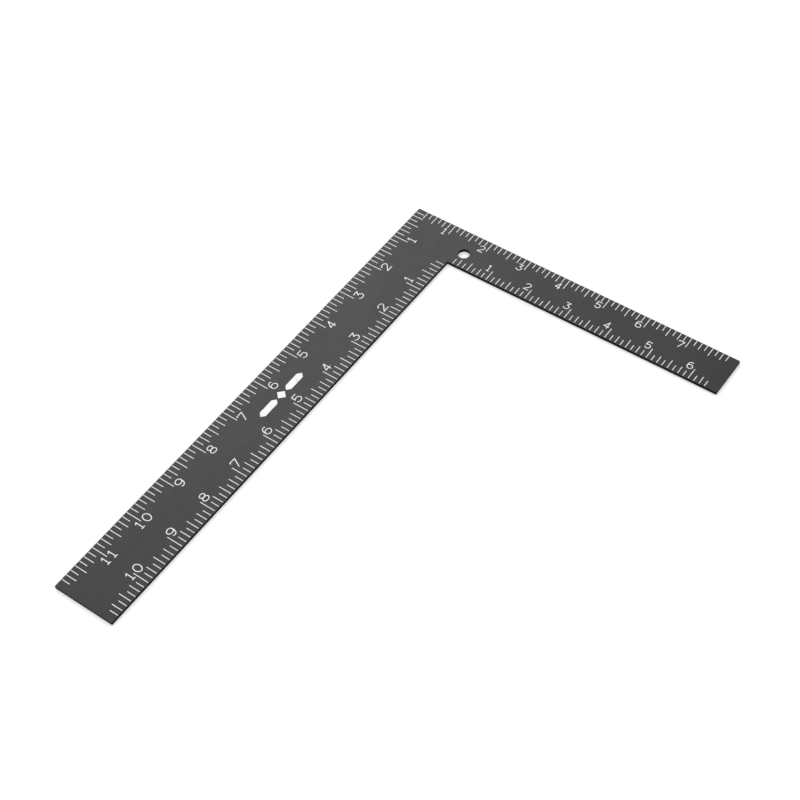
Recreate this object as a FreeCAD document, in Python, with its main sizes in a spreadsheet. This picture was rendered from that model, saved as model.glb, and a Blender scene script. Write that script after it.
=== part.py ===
import FreeCAD, Part

# Steel square: one flat L of sheet steel, a long wide blade and a shorter, narrower tongue, with
# a hole to hang it by.  The scales, their numerals and the emblem are shallow grooves stamped in
# the faces and filled with white paint.  The front face (up, +Z) has inches and eighths along all
# four edges, and the back face has centimetres and millimetres along the two outer edges.
#
# Frame: millimetres, +Z up, the origin under the middle of the bounding box, on the back face.
# The heel, where the two outer edges meet, is the corner at -X, +Y.  The blade runs from it
# along -Y and the tongue along +X.

import math
import os

import Sketcher
from FreeCAD import Placement, Rotation, Vector

SIZES = {
    # plate
    "blade_length": 306.6,
    "blade_width": 37.1,
    "tongue_length": 206.4,
    "tongue_width": 25.4,
    "thickness": 2.0,
    "corner_radius": 0.25,
    "edge_radius": 0.15,
    "hang_hole_diameter": 6.8,
    "hang_hole_from_blade_edge": 41.5,
    "hang_hole_from_tongue_edge": 15.5,
    # stamped grooves, and how far the paint stands below the face
    "groove_depth": 0.15,
    "paint_sink": 0.03,
    "mark_width": 0.44,
    "outer_inset": 0.25,
    "inner_inset": 0.4,
    # front scales: one mark each eighth of an inch, in four lengths
    "eighth": 3.175,
    "inch": 25.4,
    "blade_eighth_mark": 5.15,
    "blade_quarter_mark": 6.65,
    "blade_half_mark": 7.65,
    "blade_inch_mark": 9.6,
    "tongue_eighth_mark": 3.85,
    "tongue_quarter_mark": 4.95,
    "tongue_half_mark": 5.95,
    "tongue_inch_mark": 7.25,
    # front numerals: outer size, line width and where their middles are
    "blade_digit_height": 5.6,
    "blade_digit_width": 4.3,
    "blade_digit_line": 0.54,
    "blade_digit_from_outer": 10.8,
    "blade_digit_from_inner": 10.3,
    "blade_digit_from_mark": 3.45,
    "blade_one_from_mark": 2.75,
    "blade_first_one_from_mark": 2.2,
    "tongue_digit_height": 4.95,
    "tongue_digit_width": 3.5,
    "tongue_digit_line": 0.5,
    "tongue_digit_from_outer": 7.0,
    "tongue_digit_from_inner": 8.6,
    "tongue_digit_from_mark": 3.2,
    "tongue_one_from_mark": 3.1,
    # back scales: one mark each millimetre, in three lengths
    "millimetre": 1.0,
    "centimetre": 10.0,
    "back_mark_width": 0.25,
    "millimetre_mark": 3.6,
    "five_millimetre_mark": 5.0,
    "centimetre_mark": 6.4,
    "back_digit_height": 3.2,
    "back_digit_width": 2.3,
    "back_digit_line": 0.35,
    "back_digit_pitch": 2.9,
    "back_digit_from_edge": 9.4,
    # emblem, halfway along the blade
    "emblem_length": 35.6,
    "emblem_height": 5.8,
    "emblem_from_heel": 151.6,
    "emblem_from_blade_edge": 18.5,
    "emblem_bar_height": 4.0,
    "emblem_gap": 1.0,
}

# Digits as lines of a round-tipped pen.  x runs from -1 to 1 across the digit and y from 0 to 1
# up it, both to the middle of the line.
# ("line", x, y, x, y) is straight; ("arc", middle x, y, half-width, half-height, from, to) is
# part of an ellipse, in degrees anticlockwise from its right.
DIGITS = {
    "0": [("arc", 0, 0.5, 1, 0.5, 0, 360)],
    "1": [("line", 0, 0, 0, 1), ("line", 0, 1, -0.55, 0.82), ("line", -0.5, 0, 0.5, 0)],
    "2": [("arc", 0, 0.73, 1, 0.27, -38, 165), ("line", 0.79, 0.56, -1, 0), ("line", -1, 0, 1, 0)],
    "3": [("line", -0.85, 1, 0.85, 1), ("line", 0.85, 1, -0.09, 0.6),
          ("arc", 0, 0.3, 1, 0.3, -155, 95)],
    "4": [("line", 0.4, 0, 0.4, 1), ("line", 0.4, 1, -0.95, 0.26), ("line", -0.95, 0.26, 0.9, 0.26)],
    "5": [("line", 0.8, 1, -0.75, 1), ("line", -0.75, 1, -0.84, 0.48),
          ("arc", 0, 0.31, 1, 0.31, -150, 147)],
    "6": [("arc", 0, 0.31, 1, 0.31, 0, 360), ("arc", 0, 0.5, 1, 0.5, 60, 200)],
    "7": [("line", -1, 0.86, -1, 1), ("line", -1, 1, 1, 1), ("line", 1, 1, -0.3, 0)],
    "8": [("arc", 0, 0.26, 1, 0.26, 0, 360), ("arc", 0, 0.76, 0.85, 0.24, 0, 360)],
    "9": [("arc", 0, 0.69, 1, 0.31, 0, 360), ("arc", 0, 0.5, 1, 0.5, 240, 380)],
}

doc = FreeCAD.newDocument("SteelSquare")
sheet = doc.addObject("Spreadsheet::Sheet", "Sizes")
for row, (alias, value) in enumerate(SIZES.items(), start=1):
    sheet.set(f"A{row}", alias)
    sheet.set(f"B{row}", str(value))
    sheet.setAlias(f"B{row}", alias)
doc.recompute()


def size(alias):
    """A driving size, as the sheet holds it."""
    return float(sheet.get(alias))


# ---------------------------------------------------------------- sketches and bodies

def new_body(name):
    body = doc.addObject("PartDesign::Body", name)
    body.AllowCompound = True
    return body


def origin_feature(body, role):
    return next(item for item in body.Origin.OriginFeatures if item.Role == role)


def closed_sketch(body, name, corners):
    """A sketch on the body's XY plane: a closed outline of level and upright lines.

    The first line is level, and the corners are only a first guess: constraints place them.
    """
    sketch = body.newObject("Sketcher::SketchObject", name)
    sketch.AttachmentSupport = (origin_feature(body, "XY_Plane"), [""])
    sketch.MapMode = "FlatFace"
    count = len(corners)
    for i in range(count):
        start = Vector(*corners[i], 0)
        end = Vector(*corners[(i + 1) % count], 0)
        sketch.addGeometry(Part.LineSegment(start, end), False)
    for i in range(count):
        sketch.addConstraint(Sketcher.Constraint("Coincident", i, 2, (i + 1) % count, 1))
        direction = "Vertical" if i % 2 else "Horizontal"
        sketch.addConstraint(Sketcher.Constraint(direction, i))
    return sketch


def bind(sketch, name, kind, places, expression):
    """Adds a named dimension between two points of a sketch, and binds it to the sheet."""
    index = sketch.addConstraint(Sketcher.Constraint(kind, *places, 1.0))
    sketch.renameConstraint(index, name)
    sketch.setExpression(f"Constraints.{name}", expression)


def pad(body, sketch, length, downward=False):
    feature = body.newObject("PartDesign::Pad", f"{sketch.Name}Pad")
    feature.Profile = sketch
    feature.Reversed = downward
    feature.setExpression("Length", length)
    return feature


def round_edges(body, base, name, radius, picked):
    """Rounds those edges of a feature that picked() chooses."""
    doc.recompute()
    edges = [f"Edge{i}" for i, edge in enumerate(base.Shape.Edges, start=1) if picked(edge)]
    fillet = body.newObject("PartDesign::Fillet", name)
    fillet.Base = (base, edges)
    fillet.setExpression("Radius", radius)
    return fillet


# ---------------------------------------------------------------- plate

def make_plate():
    """The L blank, its corners and long edges broken, with the hang hole through it."""
    body = new_body("PlateBlank")
    across = size("tongue_length") / 2
    along = size("blade_length") / 2
    inner_x = size("blade_width") - across
    inner_y = along - size("tongue_width")
    outline = closed_sketch(body, "PlateOutline", [
        (-across, along), (across, along), (across, inner_y),
        (inner_x, inner_y), (inner_x, -along), (-across, -along),
    ])
    bind(outline, "tongue_length", "DistanceX", (0, 1, 0, 2), "Sizes.tongue_length")
    bind(outline, "tongue_width", "DistanceY", (1, 2, 1, 1), "Sizes.tongue_width")
    bind(outline, "blade_width", "DistanceX", (4, 2, 4, 1), "Sizes.blade_width")
    bind(outline, "blade_length", "DistanceY", (5, 1, 5, 2), "Sizes.blade_length")
    bind(outline, "heel_x", "DistanceX", (0, 1, -1, 1), "Sizes.tongue_length / 2")
    bind(outline, "heel_y", "DistanceY", (-1, 1, 0, 1), "Sizes.blade_length / 2")
    blank = pad(body, outline, "Sizes.thickness")

    hole = body.newObject("Sketcher::SketchObject", "HangHole")
    hole.AttachmentSupport = (origin_feature(body, "XY_Plane"), [""])
    hole.MapMode = "FlatFace"
    hole_x = size("hang_hole_from_blade_edge") - across
    hole_y = along - size("hang_hole_from_tongue_edge")
    radius = size("hang_hole_diameter") / 2
    hole.addGeometry(Part.Circle(Vector(hole_x, hole_y, 0), Vector(0, 0, 1), radius), False)
    bind(hole, "hole_diameter", "Diameter", (0,), "Sizes.hang_hole_diameter")
    bind(hole, "hole_x", "DistanceX", (0, 3, -1, 1),
         "Sizes.tongue_length / 2 - Sizes.hang_hole_from_blade_edge")
    bind(hole, "hole_y", "DistanceY", (-1, 1, 0, 3),
         "Sizes.blade_length / 2 - Sizes.hang_hole_from_tongue_edge")
    pocket = body.newObject("PartDesign::Pocket", "HangHolePocket")
    pocket.Profile = hole
    pocket.Type = "ThroughAll"
    pocket.Reversed = True

    corners = round_edges(body, pocket, "Corners", "Sizes.corner_radius",
                          lambda edge: len(edge.Vertexes) == 2 and upright(edge))
    broken = round_edges(body, corners, "BrokenEdges", "Sizes.edge_radius", level)
    body.Tip = broken
    doc.recompute()
    bored = math.pi * radius ** 2 * size("thickness")
    if abs(blank.Shape.Volume - pocket.Shape.Volume - bored) > 0.01:
        raise RuntimeError("the hang hole doesn't go through the plate")
    return body


def level(edge):
    return edge.BoundBox.ZLength < 1e-6


def upright(edge):
    """An upright straight edge that isn't the seam of a round hole."""
    is_line = isinstance(edge.Curve, Part.Line)
    on_hole = edge.BoundBox.XMin > size("hang_hole_from_blade_edge") - size("tongue_length") / 2
    on_hole = on_hole and edge.BoundBox.XMax < 0 and edge.BoundBox.YMin > 0
    return is_line and not level(edge) and not on_hole


# ---------------------------------------------------------------- places on the faces

class Scale:
    """Where one scale is: a face, an arm, and that arm's outer or inner edge.

    Its own frame has x the way its numerals read, y from the inner to the outer edge, which is up
    for the numerals, and z out of the plate.  The origin is the scale's zero: the heel for an
    outer scale, the inside corner for an inner one.
    """

    READS = {
        ("front", "blade"): Vector(0, 1, 0),
        ("front", "tongue"): Vector(1, 0, 0),
        ("back", "blade"): Vector(0, -1, 0),
        ("back", "tongue"): Vector(-1, 0, 0),
    }

    def __init__(self, face, arm, edge):
        self.face = face
        self.arm = arm
        self.edge = edge
        self.name = f"{face}_{arm}_{edge}"
        reads = self.READS[face, arm]
        out = Vector(0, 0, 1 if face == "front" else -1)
        self.rotation = Rotation(reads, out.cross(reads), out, "ZXY")
        # the counting direction along x, and the way into the plate along y
        away_from_heel = Vector(0, -1, 0) if arm == "blade" else Vector(1, 0, 0)
        self.run = round(reads.dot(away_from_heel))
        self.inward = -1 if edge == "outer" else 1

    def origin_expressions(self):
        inner = self.edge == "inner"
        return {
            "x": "-Sizes.tongue_length / 2" + (" + Sizes.blade_width" if inner else ""),
            "y": "Sizes.blade_length / 2" + (" - Sizes.tongue_width" if inner else ""),
            "z": "Sizes.thickness" if self.face == "front" else "0",
        }

    def place(self, thing):
        """Puts a document object in this scale's frame, its position bound to the sheet."""
        thing.Placement = Placement(Vector(0, 0, 0), self.rotation)
        for axis, expression in self.origin_expressions().items():
            thing.setExpression(f"Placement.Base.{axis}", expression)


# ---------------------------------------------------------------- marks

def make_marks(scale, step, first, last, classes, width, inset):
    """Grooves of one scale's marks, from the first step to the last.

    classes gives, for each length of mark, how many steps apart it is.  A longer mark is laid
    over the shorter one at the same place, so each class is a plain row.
    """
    body = new_body(f"{scale.name}_mark_grooves")
    for every, length in classes:
        start = math.ceil(first / every) * every
        gaps = (last - start) // every
        sketch = closed_sketch(body, f"{scale.name}_{length}", [(0, 0), (1, 0), (1, 1), (0, 1)])
        near = f"Sizes.{inset}" if scale.inward > 0 else f"-Sizes.{inset} - Sizes.{length}"
        bind(sketch, "width", "DistanceX", (0, 1, 0, 2), f"Sizes.{width}")
        bind(sketch, "length", "DistanceY", (1, 1, 1, 2), f"Sizes.{length}")
        bind(sketch, "left", "DistanceX", (-1, 1, 0, 1),
             f"{scale.run * start} * Sizes.{step} - Sizes.{width} / 2")
        bind(sketch, "bottom", "DistanceY", (-1, 1, 0, 1), near)
        groove = pad(body, sketch, "Sizes.groove_depth", downward=True)

        row = body.newObject("PartDesign::LinearPattern", f"{sketch.Name}Row")
        row.Originals = [groove]
        row.Direction = (origin_feature(body, "X_Axis"), [""])
        row.Reversed = scale.run < 0
        row.Occurrences = gaps + 1
        row.setExpression("Length", f"{gaps * every} * Sizes.{step}")
        body.Tip = row
    scale.place(body)
    doc.recompute()
    if len(body.Shape.Solids) != last - first + 1:
        raise RuntimeError(f"{body.Name}: {len(body.Shape.Solids)} marks, not {last - first + 1}")
    return body


# ---------------------------------------------------------------- numerals

def straight_line(pen, start, end):
    """The face that a round pen of this width covers from start to end."""
    ahead = (end - start).normalize() * (pen / 2)
    aside = Vector(-ahead.y, ahead.x, 0)
    edges = [
        Part.LineSegment(start - aside, end - aside),
        Part.Arc(end - aside, end + ahead, end + aside),
        Part.LineSegment(end + aside, start + aside),
        Part.Arc(start + aside, start - ahead, start - aside),
    ]
    return Part.Face(Part.Wire([edge.toShape() for edge in edges]))


def ellipse(middle, half_width, half_height):
    """An ellipse, and the angle in degrees where its own parameter starts."""
    right = Vector(half_width, 0, 0)
    top = Vector(0, half_height, 0)
    if half_width >= half_height:
        return Part.Ellipse(middle + right, middle + top, middle), 0
    return Part.Ellipse(middle + top, middle - right, middle), 90


def curved_line(pen, middle, half_width, half_height, start, end):
    """The face that a round pen covers along an ellipse, from one angle to another."""
    outer, turn = ellipse(middle, half_width + pen / 2, half_height + pen / 2)
    inner, _ = ellipse(middle, half_width - pen / 2, half_height - pen / 2)
    if end - start == 360:
        outside = Part.Face(Part.Wire(outer.toShape()))
        return outside.cut(Part.Face(Part.Wire(inner.toShape())))
    first = math.radians(start - turn)
    last = math.radians(end - turn)
    edges = [Part.ArcOfEllipse(curve, first, last).toShape() for curve in (outer, inner)]
    for angle, way in ((start, -1), (end, 1)):
        cosine = math.cos(math.radians(angle))
        sine = math.sin(math.radians(angle))
        on_line = middle + Vector(half_width * cosine, half_height * sine, 0)
        ahead = Vector(-half_width * sine, half_height * cosine, 0).normalize() * way * pen / 2
        aside = Vector(cosine, sine, 0) * (pen / 2)
        edges.append(Part.Arc(on_line + aside, on_line + ahead, on_line - aside).toShape())
    return Part.Face(Part.Wire(Part.__sortEdges__(edges)))


def digit_groove(digit, width, height, pen):
    """The groove of one digit, its middle at the origin, cut down from z = 0."""
    across = (width - pen) / 2
    up = height - pen

    def spot(x, y):
        return Vector(x * across, (y - 0.5) * up, 0)

    faces = []
    for kind, x, y, *rest in DIGITS[digit]:
        if kind == "line":
            faces.append(straight_line(pen, spot(x, y), spot(*rest)))
        else:
            half_width, half_height, start, end = rest
            faces.append(curved_line(pen, spot(x, y), half_width * across, half_height * up,
                                     start, end))
    down = Vector(0, 0, -size("groove_depth"))
    strokes = [face.extrude(down) for face in faces]
    return strokes[0].multiFuse(strokes[1:]).removeSplitter() if len(strokes) > 1 else strokes[0]


def front_digits(scale, number):
    """Digits of an inch numeral and their middles' distance from its mark, towards the heel.

    A single digit stands on the heel side of its mark.  A ten or eleven has its mark between its
    two digits.
    """
    text = str(number)
    last = "one" if text[-1] == "1" else "digit"
    places = [(text[-1], size(f"{scale.arm}_{last}_from_mark"))]
    if len(text) == 2:
        places.append((text[0], -size(f"{scale.arm}_first_one_from_mark")))
    return places


def back_digits(scale, number):
    """Digits of a centimetre numeral, which stands with its middle in line with its mark."""
    text = str(number)
    pitch = size("back_digit_pitch")
    middle = (len(text) - 1) / 2
    return [(digit, scale.run * (middle - i) * pitch) for i, digit in enumerate(text)]


def make_numerals(scale, prefix, step, numbers, digits_of, from_edge):
    """Grooves of one scale's numerals, cut from the sheet's sizes."""
    look = [size(f"{prefix}_digit_{part}") for part in ("width", "height", "line")]
    shapes = {digit: digit_groove(digit, *look) for digit in DIGITS}
    grooves = []
    for number in numbers:
        for digit, to_heel in digits_of(scale, number):
            x = scale.run * (number * size(step) - to_heel)
            groove = shapes[digit].copy()
            groove.translate(Vector(x, scale.inward * size(from_edge), 0))
            grooves.append(groove)
    feature = doc.addObject("Part::Feature", f"{scale.name}_numeral_grooves")
    feature.Shape = Part.makeCompound(grooves)
    scale.place(feature)
    return feature


# ---------------------------------------------------------------- emblem

def make_emblem(scale):
    """Groove of the emblem: a lozenge between two pointed bars, along the middle of the blade."""
    half_height = size("emblem_height") / 2
    half_bar = size("emblem_bar_height") / 2
    half_length = size("emblem_length") / 2
    lozenge = [(-half_height, 0), (0, -half_height), (half_height, 0), (0, half_height)]
    near = half_height + size("emblem_gap")
    bar = [
        (near, 0), (near + half_bar, -half_bar), (half_length - half_bar, -half_bar),
        (half_length, 0), (half_length - half_bar, half_bar), (near + half_bar, half_bar),
    ]
    mirrored = [(-x, y) for x, y in reversed(bar)]
    x = scale.run * size("emblem_from_heel")
    y = scale.inward * size("emblem_from_blade_edge")
    down = Vector(0, 0, -size("groove_depth"))
    grooves = []
    for corners in (lozenge, bar, mirrored):
        points = [Vector(x + dx, y + dy, 0) for dx, dy in corners]
        outline = Part.makePolygon(points + points[:1])
        grooves.append(Part.Face(outline).extrude(down))
    feature = doc.addObject("Part::Feature", "emblem_groove")
    feature.Shape = Part.makeCompound(grooves)
    scale.place(feature)
    return feature


# ---------------------------------------------------------------- paint and plate

def make_paint_level(name, bottom):
    """A slab over the whole plate, as thick as the paint in a groove."""
    slab = doc.addObject("Part::Box", name)
    slab.setExpression("Length", "Sizes.tongue_length")
    slab.setExpression("Width", "Sizes.blade_length")
    slab.setExpression("Height", "Sizes.groove_depth - Sizes.paint_sink")
    slab.setExpression("Placement.Base.x", "-Sizes.tongue_length / 2")
    slab.setExpression("Placement.Base.y", "-Sizes.blade_length / 2")
    slab.setExpression("Placement.Base.z", bottom)
    return slab


def make_paint(node, groove, paint_level):
    """Paint fills a groove up to the paint level."""
    paint = doc.addObject("Part::Common", node)
    paint.Label = node
    paint.Base = groove
    paint.Tool = paint_level
    return paint


def make_square_body(plate, grooves):
    """The steel plate with every groove stamped in it."""
    tools = doc.addObject("Part::Compound", "AllGrooves")
    tools.Links = grooves
    square = doc.addObject("Part::Cut", "square_body")
    square.Label = "square_body"
    square.Base = plate
    square.Tool = tools
    return square


def add_scale(name, marks, numerals, paint_level):
    """Paint for one scale, in two nodes, and its grooves for the plate."""
    nodes.append(make_paint(f"{name}_marks", marks, paint_level))
    nodes.append(make_paint(f"{name}_numerals", numerals, paint_level))
    grooves.extend([marks, numerals])


def inch_classes(arm):
    return [(1, f"{arm}_eighth_mark"), (2, f"{arm}_quarter_mark"),
            (4, f"{arm}_half_mark"), (8, f"{arm}_inch_mark")]


CENTIMETRE_CLASSES = [(1, "millimetre_mark"), (5, "five_millimetre_mark"), (10, "centimetre_mark")]

# Arm, edge, first mark in eighths, and the length in inches, with no mark at its end.  The tongue's
# first outer mark would cross the blade's, so it is left out.
INCH_SCALES = [
    ("blade", "outer", 1, 12),
    ("blade", "inner", 1, 11),
    ("tongue", "outer", 2, 8),
    ("tongue", "inner", 1, 6.5),
]

# Arm, first mark in millimetres, first numeral, and the length in centimetres.  The tongue's first
# five marks would cross the blade's, and its 1 would lie on the blade's, so they are left out.
CENTIMETRE_SCALES = [("blade", 1, 1, 30), ("tongue", 6, 2, 20)]

plate = make_plate()
front_level = make_paint_level("FrontPaintLevel", "Sizes.thickness - Sizes.groove_depth")
back_level = make_paint_level("BackPaintLevel", "Sizes.paint_sink")
grooves = []
nodes = []

for arm, edge, first, inches in INCH_SCALES:
    front = Scale("front", arm, edge)
    last = round(inches * size("inch") / size("eighth")) - 1
    marks = make_marks(front, "eighth", first, last, inch_classes(arm), "mark_width",
                       f"{edge}_inset")
    numerals = make_numerals(front, arm, "inch", range(1, math.ceil(inches)), front_digits,
                             f"{arm}_digit_from_{edge}")
    add_scale(f"{arm}_{edge}_inch", marks, numerals, front_level)

for arm, first, first_number, centimetres in CENTIMETRE_SCALES:
    back = Scale("back", arm, "outer")
    last = round(centimetres * size("centimetre") / size("millimetre"))
    marks = make_marks(back, "millimetre", first, last, CENTIMETRE_CLASSES, "back_mark_width",
                       "outer_inset")
    numerals = make_numerals(back, "back", "centimetre", range(first_number, centimetres + 1),
                             back_digits, "back_digit_from_edge")
    add_scale(f"{arm}_outer_metric", marks, numerals, back_level)

emblem = make_emblem(Scale("front", "blade", "outer"))
nodes.append(make_paint("emblem", emblem, front_level))
grooves.append(emblem)
nodes.insert(0, make_square_body(plate, grooves))
doc.recompute()

# ---------------------------------------------------------------- checks and files

for item in doc.Objects:
    if "Invalid" in item.State or "Error" in item.State:
        raise RuntimeError(f"{item.Name} failed: {item.State}")
for node in nodes:
    if node.Shape.isNull() or not node.Shape.isValid():
        raise RuntimeError(f"{node.Label} has a bad shape")
if len(nodes[0].Shape.Solids) != 1:
    raise RuntimeError("the plate isn't one solid")
stamped = plate.Shape.Volume - nodes[0].Shape.Volume
filled = sum(groove.Shape.Volume for groove in grooves)
if abs(stamped - filled) > 0.01 * filled:
    raise RuntimeError(f"grooves took {stamped:.2f} mm3 from the plate, not {filled:.2f} mm3")

os.makedirs("parts", exist_ok=True)
for node in nodes:
    node.Shape.exportStep(f"parts/{node.Label}.step")
    print(f"{node.Label}: {len(node.Shape.Solids)} solids, {node.Shape.Volume:.1f} mm3")
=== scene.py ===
import math

import bpy
from mathutils import Matrix, Vector


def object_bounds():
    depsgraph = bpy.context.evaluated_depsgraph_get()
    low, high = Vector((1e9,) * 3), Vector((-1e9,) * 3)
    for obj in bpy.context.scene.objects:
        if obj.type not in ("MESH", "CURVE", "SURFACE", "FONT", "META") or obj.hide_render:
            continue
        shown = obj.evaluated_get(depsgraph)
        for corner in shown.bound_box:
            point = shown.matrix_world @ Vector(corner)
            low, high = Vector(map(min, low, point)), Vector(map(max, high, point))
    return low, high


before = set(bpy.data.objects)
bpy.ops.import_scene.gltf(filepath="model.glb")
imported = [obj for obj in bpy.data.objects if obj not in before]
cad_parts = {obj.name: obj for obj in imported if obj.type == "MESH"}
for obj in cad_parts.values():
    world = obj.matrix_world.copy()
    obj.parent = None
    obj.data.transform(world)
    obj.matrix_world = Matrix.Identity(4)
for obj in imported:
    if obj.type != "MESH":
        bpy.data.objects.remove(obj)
cad_low, cad_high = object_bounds()

MM = 0.001

# Camera: which way it looks, in degrees, and where it stands from the square's heel.
LOOK_LEFT = 39.054
LOOK_DOWN = 51.376
ROLL = 4.312
CAMERA_FROM_HEEL = Vector((421.07, -549.58, 694.27)) * MM
LENS = 76.466
SENSOR = 36.0
NEAREST_SEEN = 0.01
FARTHEST_SEEN = 50.0

# Studio: floor, sky, and softboxes given by place, width, height (metres) and power (watts).
FLOOR_HALF_SIZE = 6.0
FLOOR_GAP = 0.02 * MM
FLOOR_GLOW = 0.15
FLOOR_PATCH = 0.4
FLOOR_COLOUR = (0.93, 0.93, 0.93, 1.0)
FLOOR_PALE = (0.95, 0.95, 0.95, 1.0)
SKY_STRENGTH = 0.85
SOFTBOXES = {
    "key": (Vector((-0.95, 0.80, 1.10)), 0.9, 1.0, 5.1),
    "fill": (Vector((1.2, -1.4, 2.4)), 2.0, 2.0, 12.0),
}

# Steel plate: colours
COAT_COLOUR = (0.017, 0.017, 0.0174, 1.0)
COAT_PALE = (0.024, 0.024, 0.0244, 1.0)
# the sides' colours: painted shade, the same coat drawn darker on the sheared sides than on the
# faces
SIDE_PAINTED_SHADE = (0.0025, 0.0025, 0.0026, 1.0)
SIDE_PAINTED_SHADE_PALE = (0.006, 0.006, 0.0062, 1.0)
BARE_STEEL = (0.16, 0.16, 0.165, 1.0)
DUST_COLOUR = (0.07, 0.07, 0.069, 1.0)
SCRATCH_COLOUR = (0.045, 0.045, 0.046, 1.0)

# Steel plate: how far across each feature is
CLOUD_SIZE = 45 * MM
MOTTLE_SIZE = 3.5 * MM
GRAIN_SIZE = 0.22 * MM
DUST_SIZE = 0.45 * MM
PEEL_SIZE = 0.9 * MM
WORN_PATCH_SIZE = 1.6 * MM
SCRATCHED_PATCH_SIZE = 30 * MM
SHEAR_STREAK_SIZE = (0.25 * MM, 0.25 * MM, 6 * MM)
SMEAR_SIZE = (9 * MM, 38 * MM, 9 * MM)

# Scratches: angle in degrees, length, width, and the noise level above which one shows
SCRATCH_SETS = [
    (24, 30 * MM, 0.12 * MM, 0.66),
    (118, 22 * MM, 0.10 * MM, 0.67),
]

# Steel plate: shine and relief
COAT_ROUGHNESS = (0.335, 0.395)
SMEAR_ROUGHNESS = 0.02
SIDE_ROUGHNESS = 0.4
SCRATCH_SMOOTHNESS = -0.12
# metallic on the sides, over their near-black colour, darkens them further: painted shade
SIDE_METALLIC = 0.8
COAT_SPECULAR = 0.38
COAT_RELIEF = 0.06 * MM

# Paint in the grooves
MARK_PAINT = (0.90, 0.90, 0.89, 1.0)
MARK_PAINT_DUSTY = (0.80, 0.80, 0.79, 1.0)
EMBLEM_PAINT = (0.93, 0.93, 0.92, 1.0)
EMBLEM_PAINT_DUSTY = (0.88, 0.88, 0.87, 1.0)
WORN_PAINT = (0.45, 0.45, 0.44, 1.0)
PIT_COLOUR = (0.25, 0.25, 0.25, 1.0)
UNEVEN_SIZE = 2.2 * MM
PIT_SIZE = 0.14 * MM
WORN_SIZE = 6 * MM
PAINT_ROUGHNESS = (0.5, 0.68)
PAINT_SPECULAR = 0.35
PAINT_RELIEF = 0.02 * MM


# ---------------------------------------------------------------- node helpers

def new_material(name):
    """A material with an empty node tree, and its output node."""
    material = bpy.data.materials.new(name)
    material.use_nodes = True
    tree = material.node_tree
    tree.nodes.clear()
    return material, tree, tree.nodes.new("ShaderNodeOutputMaterial")


def add(tree, kind, inputs=None, **settings):
    """Adds a node. An input that is a socket is linked, and any other is set."""
    node = tree.nodes.new(f"ShaderNode{kind}")
    for name, value in settings.items():
        setattr(node, name, value)
    for name, value in (inputs or {}).items():
        if isinstance(value, bpy.types.NodeSocket):
            tree.links.new(value, node.inputs[name])
        else:
            node.inputs[name].default_value = value
    return node


def add_surface(tree, output, inputs):
    """A principled surface with these inputs, as the material's output."""
    surface = add(tree, "BsdfPrincipled", inputs)
    tree.links.new(surface.outputs["BSDF"], output.inputs["Surface"])


def own_place(tree):
    """A point of the surface in its object's own coordinates."""
    return add(tree, "TexCoord").outputs["Object"]


def noise(tree, place, feature, detail=2.0, roughness=0.5):
    """Smooth noise from 0 to 1 whose features are about this many metres across."""
    inputs = {"Vector": place, "Scale": 1.0 / feature, "Detail": detail, "Roughness": roughness}
    return add(tree, "TexNoise", inputs).outputs["Fac"]


def stretched_noise(tree, place, feature, turn=0.0):
    """Noise whose features are this size along x, y and z, turned about z, in degrees."""
    turned = add(tree, "Mapping", {"Vector": place, "Rotation": (0.0, 0.0, math.radians(turn)),
                                   "Scale": [1.0 / length for length in feature]})
    inputs = {"Vector": turned.outputs["Vector"], "Scale": 1.0, "Detail": 1.0}
    return add(tree, "TexNoise", inputs).outputs["Fac"]


def ramp(tree, value, low, high, to_low=0.0, to_high=1.0):
    """Maps low..high of a value to to_low..to_high, smoothly and no further."""
    inputs = {"Value": value, "From Min": low, "From Max": high,
              "To Min": to_low, "To Max": to_high}
    return add(tree, "MapRange", inputs, interpolation_type="SMOOTHSTEP").outputs["Result"]


def maths(tree, operation, first, second=0.0):
    return add(tree, "Math", {0: first, 1: second}, operation=operation).outputs["Value"]


def weighted(tree, *terms):
    """The sum of values, each times its weight."""
    total = maths(tree, "MULTIPLY", *terms[0])
    for value, weight in terms[1:]:
        total = maths(tree, "ADD", total, maths(tree, "MULTIPLY", value, weight))
    return total


def blend(tree, share, first, second):
    """first where share is 0, second where it is 1: both colours."""
    mix = add(tree, "Mix", data_type="RGBA")
    for index, value in ((0, share), (6, first), (7, second)):
        if isinstance(value, bpy.types.NodeSocket):
            tree.links.new(value, mix.inputs[index])
        else:
            mix.inputs[index].default_value = value
    return mix.outputs[2]


def cover(tree, share, strength, under, over):
    """Colour over laid on colour under where share is 1, at this strength."""
    return blend(tree, maths(tree, "MULTIPLY", share, strength), under, over)


# ---------------------------------------------------------------- steel plate

def handling_scratches(tree, place):
    """1 on thin straight scratches, which lie in patches, and 0 elsewhere."""
    sets = []
    for angle, length, width, rarity in SCRATCH_SETS:
        streaks = stretched_noise(tree, place, (length, width, length), angle)
        sets.append(ramp(tree, streaks, rarity, rarity + 0.06))
    patches = ramp(tree, noise(tree, place, SCRATCHED_PATCH_SIZE), 0.42, 0.58)
    return maths(tree, "MULTIPLY", maths(tree, "MAXIMUM", *sets), patches)


def coat_colour(tree, place, mottle, grain, marks):
    """The rolled faces: cloudy and finely grained, with specks of dust and scratches."""
    clouds = noise(tree, place, CLOUD_SIZE, 3.0)
    shade = weighted(tree, (clouds, 0.5), (mottle, 0.25), (grain, 0.25))
    face = blend(tree, ramp(tree, shade, 0.34, 0.66), COAT_COLOUR, COAT_PALE)
    specks = ramp(tree, noise(tree, place, DUST_SIZE, 2.0, 0.6), 0.66, 0.72)
    face = cover(tree, specks, 0.7, face, DUST_COLOUR)
    return cover(tree, marks, 0.5, face, SCRATCH_COLOUR)


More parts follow.
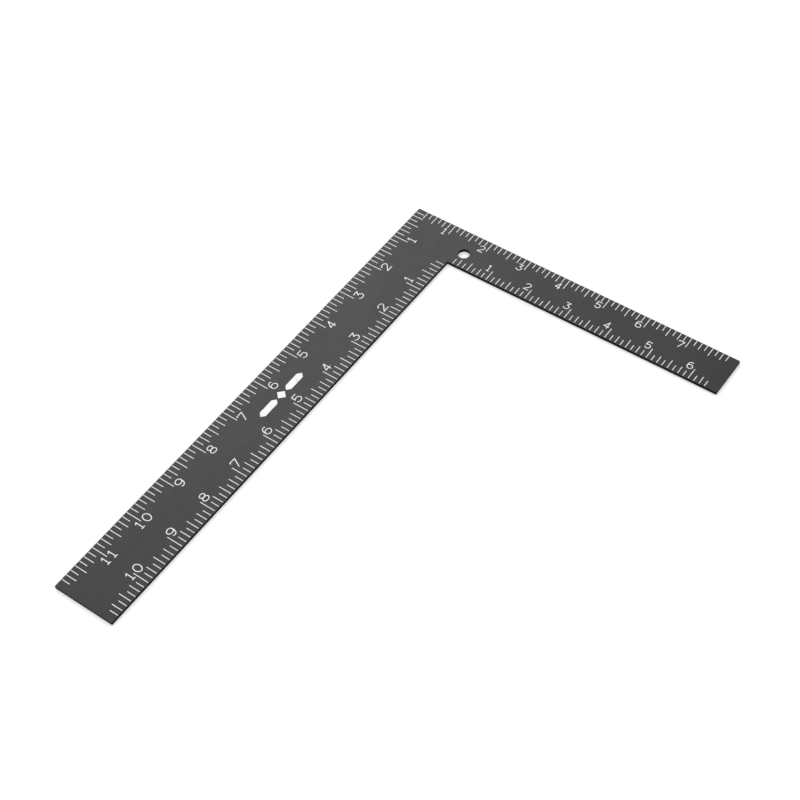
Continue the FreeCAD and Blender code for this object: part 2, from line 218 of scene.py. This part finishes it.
def coated_steel():
    """Satin black coating on sheet steel, dull on the sheared sides, which are darkened with
    painted shade, and thin on the edges.
    """
    material, tree, output = new_material("coated_steel")
    place = own_place(tree)
    normal = add(tree, "NewGeometry").outputs["Normal"]
    facing = maths(tree, "ABSOLUTE", add(tree, "SeparateXYZ", {"Vector": normal}).outputs["Z"])
    mottle = noise(tree, place, MOTTLE_SIZE)
    grain = noise(tree, place, GRAIN_SIZE, 3.0, 0.65)
    marks = handling_scratches(tree, place)

    # the sheared sides of the sheet: painted shade makes them darker than its rolled faces,
    # with upright streaks
    on_side = ramp(tree, facing, 0.05, 0.35, 1.0, 0.0)
    streaks = stretched_noise(tree, place, SHEAR_STREAK_SIZE)
    side = blend(tree, ramp(tree, streaks, 0.35, 0.65), SIDE_PAINTED_SHADE, SIDE_PAINTED_SHADE_PALE)
    colour = blend(tree, on_side, coat_colour(tree, place, mottle, grain, marks), side)

    # the rounded edges between them: steel shows through in patches
    rounded = maths(tree, "MULTIPLY", ramp(tree, facing, 0.35, 0.6),
                    ramp(tree, facing, 0.9, 0.99, 1.0, 0.0))
    patchy = ramp(tree, noise(tree, place, WORN_PATCH_SIZE, 3.0), 0.45, 0.7, 0.05, 0.45)
    colour = cover(tree, rounded, patchy, colour, BARE_STEEL)

    # wide smears where it was wiped
    smears = ramp(tree, stretched_noise(tree, place, SMEAR_SIZE), 0.35, 0.65)
    roughness = weighted(tree, (ramp(tree, mottle, 0.3, 0.7, *COAT_ROUGHNESS), 1.0),
                         (smears, SMEAR_ROUGHNESS), (on_side, SIDE_ROUGHNESS),
                         (marks, SCRATCH_SMOOTHNESS))

    # a little orange peel
    peel = noise(tree, place, PEEL_SIZE)
    relief = weighted(tree, (peel, 0.6), (grain, 0.35), (marks, -0.25), (on_side, streaks))
    bump = add(tree, "Bump", {"Height": relief, "Strength": 0.6, "Distance": COAT_RELIEF})

    add_surface(tree, output, {
        "Base Color": colour,
        "Metallic": maths(tree, "MULTIPLY", on_side, SIDE_METALLIC),
        "Roughness": roughness,
        "Specular IOR Level": COAT_SPECULAR,
        "Normal": bump.outputs["Normal"],
    })
    return material


# ---------------------------------------------------------------- paint

def filling_paint(name, fresh, dusty):
    """Matt white paint wiped into a groove: a little uneven, worn in places, finely pitted."""
    material, tree, output = new_material(name)
    place = own_place(tree)
    uneven = noise(tree, place, UNEVEN_SIZE, 3.0, 0.6)
    pitted = ramp(tree, noise(tree, place, PIT_SIZE, 2.0, 0.7), 0.62, 0.72)
    worn = ramp(tree, noise(tree, place, WORN_SIZE, 2.0, 0.6), 0.60, 0.72)
    colour = blend(tree, ramp(tree, uneven, 0.3, 0.7), fresh, dusty)
    colour = cover(tree, worn, 0.35, colour, WORN_PAINT)
    colour = cover(tree, pitted, 0.45, colour, PIT_COLOUR)
    relief = weighted(tree, (uneven, 0.6), (pitted, -0.5))
    bump = add(tree, "Bump", {"Height": relief, "Strength": 0.4, "Distance": PAINT_RELIEF})
    add_surface(tree, output, {
        "Base Color": colour,
        "Roughness": ramp(tree, uneven, 0.3, 0.7, *PAINT_ROUGHNESS),
        "Specular IOR Level": PAINT_SPECULAR,
        "Normal": bump.outputs["Normal"],
    })
    return material


def dress(nodes, material):
    """Gives CAD nodes a material in place of the plain one that they came with."""
    for name in nodes:
        mesh_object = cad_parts[name]
        if not mesh_object.material_slots:
            mesh_object.data.materials.append(material)
        for material_slot in mesh_object.material_slots:
            material_slot.material = material


def dress_square():
    marks_and_numerals = sorted(set(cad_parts) - {"square_body", "emblem"})
    dress(["square_body"], coated_steel())
    dress(marks_and_numerals, filling_paint("mark_paint", MARK_PAINT, MARK_PAINT_DUSTY))
    dress(["emblem"], filling_paint("emblem_paint", EMBLEM_PAINT, EMBLEM_PAINT_DUSTY))


# ---------------------------------------------------------------- studio

def pale_floor():
    material, tree, output = new_material("pale_floor")
    soft = ramp(tree, noise(tree, own_place(tree), FLOOR_PATCH), 0.3, 0.7)
    add_surface(tree, output, {
        "Base Color": blend(tree, soft, FLOOR_COLOUR, FLOOR_PALE),
        "Roughness": 0.9,
        "Specular IOR Level": 0.1,
        "Emission Color": (1.0, 1.0, 1.0, 1.0),
        "Emission Strength": FLOOR_GLOW,
    })
    return material


def make_floor():
    mesh = bpy.data.meshes.new("floor")
    half = FLOOR_HALF_SIZE
    z = cad_low.z - FLOOR_GAP
    corners = [(-half, -half, z), (half, -half, z), (half, half, z), (-half, half, z)]
    mesh.from_pydata(corners, [], [(0, 1, 2, 3)])
    floor = bpy.data.objects.new("floor", mesh)
    mesh.materials.append(pale_floor())
    bpy.context.scene.collection.objects.link(floor)


def make_sky():
    world = bpy.data.worlds.new("studio")
    world.use_nodes = True
    background = world.node_tree.nodes["Background"]
    background.inputs["Color"].default_value = (1.0, 1.0, 1.0, 1.0)
    background.inputs["Strength"].default_value = SKY_STRENGTH
    bpy.context.scene.world = world


def make_softbox(name, place, width, height, power):
    """A rectangular soft light that stands at place and faces the middle of the square."""
    lamp = bpy.data.lights.new(name, "AREA")
    lamp.shape = "RECTANGLE"
    lamp.size = width
    lamp.size_y = height
    lamp.energy = power
    light = bpy.data.objects.new(name, lamp)
    light.location = place
    towards = (cad_low + cad_high) / 2 - place
    light.rotation_euler = towards.to_track_quat("-Z", "Y").to_euler()
    bpy.context.scene.collection.objects.link(light)


def make_camera():
    heel = Vector((cad_low.x, cad_high.y, cad_low.z))
    left = math.radians(-LOOK_LEFT)
    down = math.radians(LOOK_DOWN)
    ahead = Vector((math.sin(left) * math.cos(down), math.cos(left) * math.cos(down),
                    -math.sin(down)))
    right = Vector((math.cos(left), -math.sin(left), 0.0))
    up = right.cross(ahead)
    turn = Matrix.Rotation(math.radians(ROLL), 3, ahead)
    axes = Matrix((turn @ right, turn @ up, -ahead)).transposed()
    lens = bpy.data.cameras.new("camera")
    lens.lens = LENS
    lens.sensor_width = SENSOR
    lens.clip_start = NEAREST_SEEN
    lens.clip_end = FARTHEST_SEEN
    camera = bpy.data.objects.new("camera", lens)
    camera.matrix_world = Matrix.Translation(heel + CAMERA_FROM_HEEL) @ axes.to_4x4()
    bpy.context.scene.collection.objects.link(camera)
    bpy.context.scene.camera = camera


dress_square()
make_floor()
make_sky()
for softbox, (spot, width, height, power) in SOFTBOXES.items():
    make_softbox(softbox, spot, width, height, power)
make_camera()
bpy.context.scene.view_settings.view_transform = "Standard"
